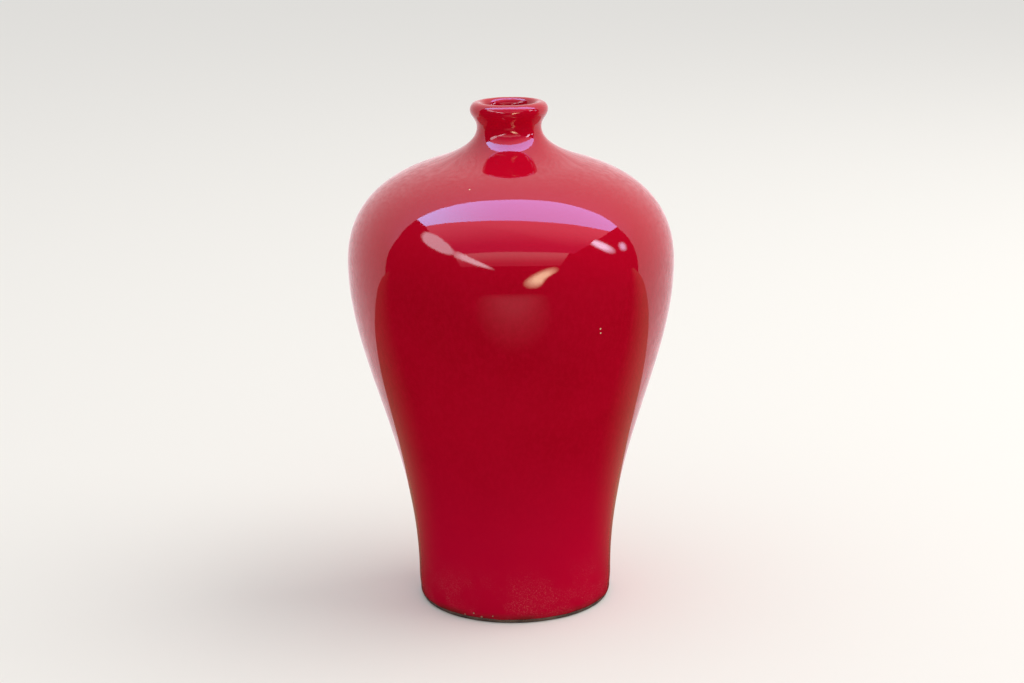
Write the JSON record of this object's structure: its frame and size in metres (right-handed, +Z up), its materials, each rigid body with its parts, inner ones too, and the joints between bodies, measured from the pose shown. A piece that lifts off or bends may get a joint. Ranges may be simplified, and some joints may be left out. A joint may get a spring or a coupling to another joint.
{
  "type": "glazed meiping vase",
  "caption": "High-shouldered, narrow-mouthed red-glazed stoneware vase that stands on a bare foot ring and holds water or a spray of stems.",
  "frame": {"origin": "centre of the foot ring's resting plane", "axes": "+Z up along the vase's axis of revolution, X and Y level"},
  "size_m": [0.211, 0.211, 0.33],
  "materials": {
    "clay": "unglazed fired stoneware, dark brown-grey, dry and matt",
    "slip": "fired joining slip, matt",
    "red_glaze": "deep crimson glaze, mirror gloss",
    "liner_glaze": "pale celadon-white liner glaze, glossy"
  },
  "bodies": {
    "root": {"base_section": "clay", "belly_section": "clay", "shoulder_section": "clay", "neck_section": "clay", "lower_seam": "slip", "middle_seam": "slip", "neck_seam": "slip", "outer_glaze": "red_glaze", "liner_glaze": "liner_glaze", "base_glaze": "liner_glaze"}
  },
  "joints": []
}
